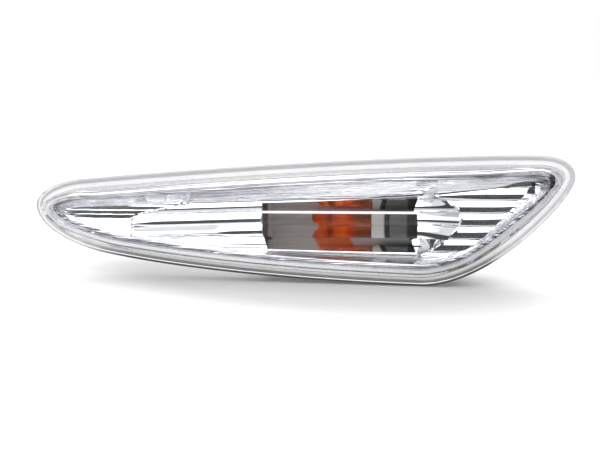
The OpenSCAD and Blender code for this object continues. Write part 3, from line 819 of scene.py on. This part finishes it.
def housing_plastic():
    """Grey moulding, pale on the flange that the clear border lies on. Painted light and shade: the
    flange is darker along its lower side; round the bulb the chamber is paler inside, dark at its ends
    and has an amber glow below the bulb.
    """
    m = solid("housing_plastic", (0.6, 0.6, 0.59), (0.63, 0.63, 0.62), (0.38, 0.5))
    t, b = parts_of(m)
    x, y, z = split(t, object_place(t))
    from_bulb = off_axis(t, past(t, y, BULB_Y), calc(t, "SUBTRACT", z, BULB_Z * MM))
    # The chamber round the bulb; its paler colour is painted light.
    room = product(
        t, smooth_step(t, y, 3.2 * MM, 4.2 * MM),
        product(t, smooth_step(t, from_bulb, (CHAMBER_R + 0.8) * MM, (CHAMBER_R + 0.5) * MM),
                smooth_step(t, x, (WINDOW_X0 - 1.2) * MM, (WINDOW_X0 - 0.9) * MM),
                smooth_step(t, x, (PORT_X + 0.7) * MM, (PORT_X + 0.4) * MM)))
    # Painted shade at the chamber's two ends.
    ends = calc(t, "MAXIMUM", smooth_step(t, x, (PORT_X - 3.8) * MM, (PORT_X - 3.0) * MM),
                smooth_step(t, x, (WINDOW_X0 + 1.6) * MM, (WINDOW_X0 + 0.4) * MM))
    shade = product(t, room, ends, smooth_step(t, y, 16 * MM, 13 * MM))
    # Painted light: an amber glow on the chamber wall below the bulb.
    painted_amber_glow = product(t, patch(t, x, z, (7.4, -11.0), (9.5, 8), 1.5), room)
    tone = blend(t, room, color_so_far(b), (0.78, 0.79, 0.77))
    tone = blend(t, shade, tone, (0.1, 0.1, 0.09))
    tone = blend(t, painted_amber_glow, tone, (1.0, 0.26, 0.06))
    # Painted shade: the flange is darker along its lower side.
    low = smooth_step(t, z, (LOWER_Z + 4) * MM, (LOWER_Z - 1) * MM)
    seat = blend(t, low, (0.84, 0.84, 0.84), (0.4, 0.4, 0.4))
    flange = smooth_step(t, y, -1.30 * MM, -1.36 * MM)
    t.links.new(blend(t, flange, tone, seat), b.inputs["Base Color"])
    return m


def holder_plastic():
    """Dark grey moulding with a pale mouth round the bulb's foot; painted shade darkens it in the port
    and in an arc just past the mouth.
    """
    m = solid("holder_plastic", (0.16, 0.16, 0.155), (0.2, 0.2, 0.195), (0.35, 0.45))
    t, b = parts_of(m)
    x, _, z = split(t, object_place(t))
    off = calc(t, "SUBTRACT", z, BULB_Z * MM)
    arched = calc(t, "ADD", x, product(t, off, off, 55.0))
    # Painted shade where the holder runs into the port.
    port_shade = product(t, smooth_step(t, x, (PORT_X - 3.8) * MM, (PORT_X - 3.2) * MM),
                   smooth_step(t, x, PORT_X * MM, (PORT_X - 0.1) * MM))
    tone = blend(t, port_shade, color_so_far(b), (0.03, 0.03, 0.03))
    # Painted shade: a dark arc just past the pale mouth.
    behind = smooth_step(t, arched, (MOUTH_X + 5.4) * MM, (MOUTH_X + 5.9) * MM)
    tone = blend(t, behind, (0.02, 0.02, 0.02), tone)
    mouth = smooth_step(t, arched, (MOUTH_X + 3.6) * MM, (MOUTH_X + 4.4) * MM)
    t.links.new(blend(t, mouth, (0.75, 0.74, 0.72), tone), b.inputs["Base Color"])
    return m


def window_plastic():
    """Clear, with a painted highlight along the valley between its two upper flutes: a matt white line
    that also glows.
    """
    m = clear_plastic("clear_window", (0.94, 0.945, 0.94), 0.15)
    t, _ = parts_of(m)
    surface = t.nodes["Material Output"].inputs["Surface"]
    x, _, z = split(t, object_place(t))
    height = calc(t, "ADD", product(t, x, -SLOPE), z)
    valley = FLUTE_ZERO - WINDOW_MID * SLOPE
    line = product(t, smooth_step(t, height, (valley - 0.48) * MM, (valley - 0.36) * MM),
                   smooth_step(t, height, (valley + 0.4) * MM, (valley + 0.28) * MM))
    # Painted highlight: a matt white line along the valley that also glows.
    highlight_matt = add(t, "ShaderNodeBsdfDiffuse", Color=(0.95, 0.95, 0.94))
    highlight_glow = add(t, "ShaderNodeEmission", Strength=0.3)
    both = add(t, "ShaderNodeAddShader")
    t.links.new(highlight_matt.outputs[0], both.inputs[0])
    t.links.new(highlight_glow.outputs[0], both.inputs[1])
    t.links.new(mix_shaders(t, line, surface.links[0].from_socket, both.outputs[0]), surface)
    return m


def amber_glass():
    """Amber lacquer on clear glass that lets light through. Painted light and shade: its colour runs in
    bright and dark bands along the bulb, and it glows in specks on its upper side and faintly on its
    lower side.
    """
    m, t, b = material("amber_glass", Transmission_Weight=0.2, IOR=1.5, Roughness=0.04,
                       Specular_IOR_Level=0.08, Emission_Color=(1.0, 0.2, 0.02))
    place = object_place(t)
    uneven(t, b, noise_over(t, place, 150, 2), 0.02, 0.0002)
    x, _, z = split(t, place)
    # Painted highlights and painted shade: the colour runs in bright and dark bands along the bulb.
    tone = ramp_along(t, even_step(t, x, (MOUTH_X - 19) * MM, (MOUTH_X + 2.5) * MM), [
        (0.0, (0.62, 0.055, 0.003)), (0.12, (0.8, 0.1, 0.005)), (0.22, (0.6, 0.06, 0.003)),
        (0.29, (0.16, 0.01, 0.0)), (0.36, (0.68, 0.07, 0.003)), (0.48, (0.85, 0.12, 0.006)),
        (0.56, (0.62, 0.045, 0.002)), (0.66, (0.24, 0.05, 0.012)), (1.0, (0.18, 0.05, 0.02))])
    t.links.new(tone, b.inputs["Base Color"])
    # Painted light: specks of painted highlight glow on the upper side, and the lower side glows
    # faintly.
    glint_specks = smooth_step(t, noise_over(t, place, 420.0, 2), 0.42, 0.66, 0.15, 1.0)
    upper = smooth_step(t, z, (BULB_Z + 1) * MM, (BULB_Z + 4) * MM, 0.0, 0.42)
    lower = smooth_step(t, z, (BULB_Z - 1.5) * MM, (BULB_Z - 4) * MM, 0.0, 0.12)
    t.links.new(calc(t, "ADD", product(t, glint_specks, upper), lower), b.inputs["Emission Strength"])
    lets_light_in(t, b.outputs[0], (0.9, 0.3, 0.05))
    return m


CLEAR = clear_plastic("clear_lens", (0.965, 0.97, 0.985), LENS_SHINE)
CHROME = solid("bright_reflector", (0.78, 0.785, 0.8), (0.88, 0.885, 0.9), (0.02, 0.05),
               scale=60, bump=0.04, metal=1.0, fine=120)
RUBBER = solid("black_rubber", (0.03, 0.03, 0.031), (0.045, 0.045, 0.046), (0.55, 0.7), scale=500)
BRASS = solid("brass_terminal", (0.72, 0.53, 0.22), (0.8, 0.6, 0.28), (0.2, 0.32),
              scale=500, bump=0.05, distance=0.0001, metal=1.0)
WIRE = solid("lead_wire", (0.5, 0.49, 0.47), (0.6, 0.59, 0.57), (0.25, 0.35),
             scale=800, bump=0.05, distance=0.0001, metal=1.0)

LOOKS = {
    "housing": housing_plastic(),
    "gasket": solid("foam_rubber", (0.035, 0.035, 0.036), (0.055, 0.055, 0.056), (0.85, 0.95),
                    scale=900, bump=0.5),
    "spring_clip": solid("spring_steel", (0.5, 0.5, 0.51), (0.6, 0.6, 0.61), (0.25, 0.38),
                         scale=400, bump=0.1, distance=0.0001, metal=1.0),
    "vent_cap": RUBBER,
    "holder_body": holder_plastic(),
    "holder_seal": RUBBER,
    "terminal_upper": BRASS,
    "terminal_lower": BRASS,
    "bulb_glass": amber_glass(),
    "bulb_filament": solid("filament_wire", (0.2, 0.2, 0.21), (0.28, 0.28, 0.29), (0.4, 0.5),
                           scale=900, bump=0.1, distance=0.0001, metal=1.0),
    "bulb_bead": clear_plastic("clear_glass", (0.85, 0.93, 0.9)),
    "bulb_wire_upper": WIRE,
    "bulb_wire_lower": WIRE,
}


def dress(obj, *looks):
    """Give an object its materials; an empty list isn't cleared, as that would reset its faces."""
    if obj.data.materials:
        obj.data.materials.clear()
    for look in looks:
        obj.data.materials.append(look)


for name, look in LOOKS.items():
    dress(nodes[name], look)
    nodes[name].data.shade_smooth()
    nodes[name].data.set_sharp_from_angle(angle=math.radians(30))
dress(build_lens(), CLEAR, lens_edge(), lens_weld(), lens_side())
dress(build_reflector(), CHROME, streaked_chrome("bright_reflector_wall", False),
      streaked_chrome("bright_reflector_rim", True))
dress(build_window(), window_plastic())


def sky_color(tree, direction):
    """White all round, with a darker stretch low in front of the lens."""
    _, y, z = split(tree, direction)
    zone = product(tree, smooth_step(tree, y, -0.4, -0.55), smooth_step(tree, z, 0.12, 0.04),
                   smooth_step(tree, z, -0.64, -0.56))
    return blend(tree, zone, (1.0, 1.0, 1.0), (0.075, 0.08, 0.078))


def build_world():
    """White to the camera, soft grey light on matt faces, the sky in mirrors and clear plastic."""
    world = bpy.data.worlds.new("studio")
    scene.world = world
    world.use_nodes = True
    t = world.node_tree
    t.nodes.clear()
    direction = add(t, "ShaderNodeTexCoord").outputs["Generated"]
    path = add(t, "ShaderNodeLightPath").outputs
    rise = even_step(t, split(t, direction)[2], 0.0, 1.0)
    soft = add(t, "ShaderNodeBackground", Strength=1.0)
    t.links.new(blend(t, rise, (0.3, 0.3, 0.3), (0.7, 0.7, 0.7)), soft.inputs["Color"])
    mirrored = add(t, "ShaderNodeBackground", Strength=1.0)
    t.links.new(sky_color(t, direction), mirrored.inputs["Color"])
    seen = add(t, "ShaderNodeBackground", Color=(1, 1, 1), Strength=1.0)
    gloss = calc(t, "MAXIMUM", path["Is Glossy Ray"], path["Is Transmission Ray"])
    unseen = mix_shaders(t, gloss, soft.outputs[0], mirrored.outputs[0])
    out = add(t, "ShaderNodeOutputWorld")
    t.links.new(mix_shaders(t, path["Is Camera Ray"], unseen, seen.outputs[0]), out.inputs["Surface"])


def build_floor():
    """A pale floor under the lamp, which turns white to the camera outside a slanted oval."""
    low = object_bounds()[0].z
    bpy.ops.mesh.primitive_plane_add(size=3, location=(0, 0, low))
    floor = bpy.context.object
    floor.name = "floor"
    m, t, b = material("floor", Base_Color=(0.86, 0.86, 0.86), Roughness=0.9, Specular_IOR_Level=0.0,
                       Emission_Color=(1, 1, 1))
    path = add(t, "ShaderNodeLightPath").outputs
    # Painted light: to the camera the floor glows faintly near the lamp and white outside a slanted
    # oval, which trims the lamp's shadow to that oval.
    oval = add(t, "ShaderNodeMapping", vector_type="TEXTURE", Rotation=(0, 0, math.radians(-35)),
               Scale=(1.15, 0.67, 1))
    t.links.new(object_place(t), oval.inputs["Vector"])
    lift = smooth_step(t, vector_length(t, oval.outputs[0]), 0.045, 0.105, 0.05, 0.6)
    t.links.new(product(t, lift, path["Is Camera Ray"]), b.inputs["Emission Strength"])
    # Mirrors and clear plastic don't see the floor, only the sky.
    through = calc(t, "MAXIMUM", path["Is Glossy Ray"], path["Is Transmission Ray"])
    clear = add(t, "ShaderNodeBsdfTransparent")
    both = mix_shaders(t, through, b.outputs[0], clear.outputs[0])
    t.links.new(both, t.nodes["Material Output"].inputs["Surface"])
    floor.data.materials.append(m)


def add_lamp(name, place, size, power):
    """A round lamp of a given width that shines on the part."""
    data = bpy.data.lights.new(name, "AREA")
    data.shape, data.size, data.energy = "DISK", size, power
    lamp = bpy.data.objects.new(name, data)
    scene.collection.objects.link(lamp)
    lamp.location = place
    lamp.rotation_euler = (-Vector(place)).to_track_quat("-Z", "Y").to_euler()


def build_camera():
    """The camera of the photo, 10 degrees from the right and 7 from above."""
    az, el = math.radians(10), math.radians(7)
    aim, away = Vector((-0.35, 0, -2.7)) * MM, 0.52
    back = Vector((math.sin(az) * math.cos(el), -math.cos(az) * math.cos(el), math.sin(el)))
    data = bpy.data.cameras.new("camera")
    data.lens, data.sensor_width, data.clip_start = 105.62, 36, 0.01
    cam = bpy.data.objects.new("camera", data)
    scene.collection.objects.link(cam)
    cam.location = aim + back * away
    cam.rotation_euler = (-back).to_track_quat("-Z", "Y").to_euler()
    scene.camera = cam


scene.view_settings.view_transform = "Standard"
build_world()
build_floor()
build_camera()
add_lamp("key", (-0.15, -0.7, 0.42), 0.8, 2.8)
add_lamp("rear", (-0.05, 0.5, 0.6), 0.8, 2.3)
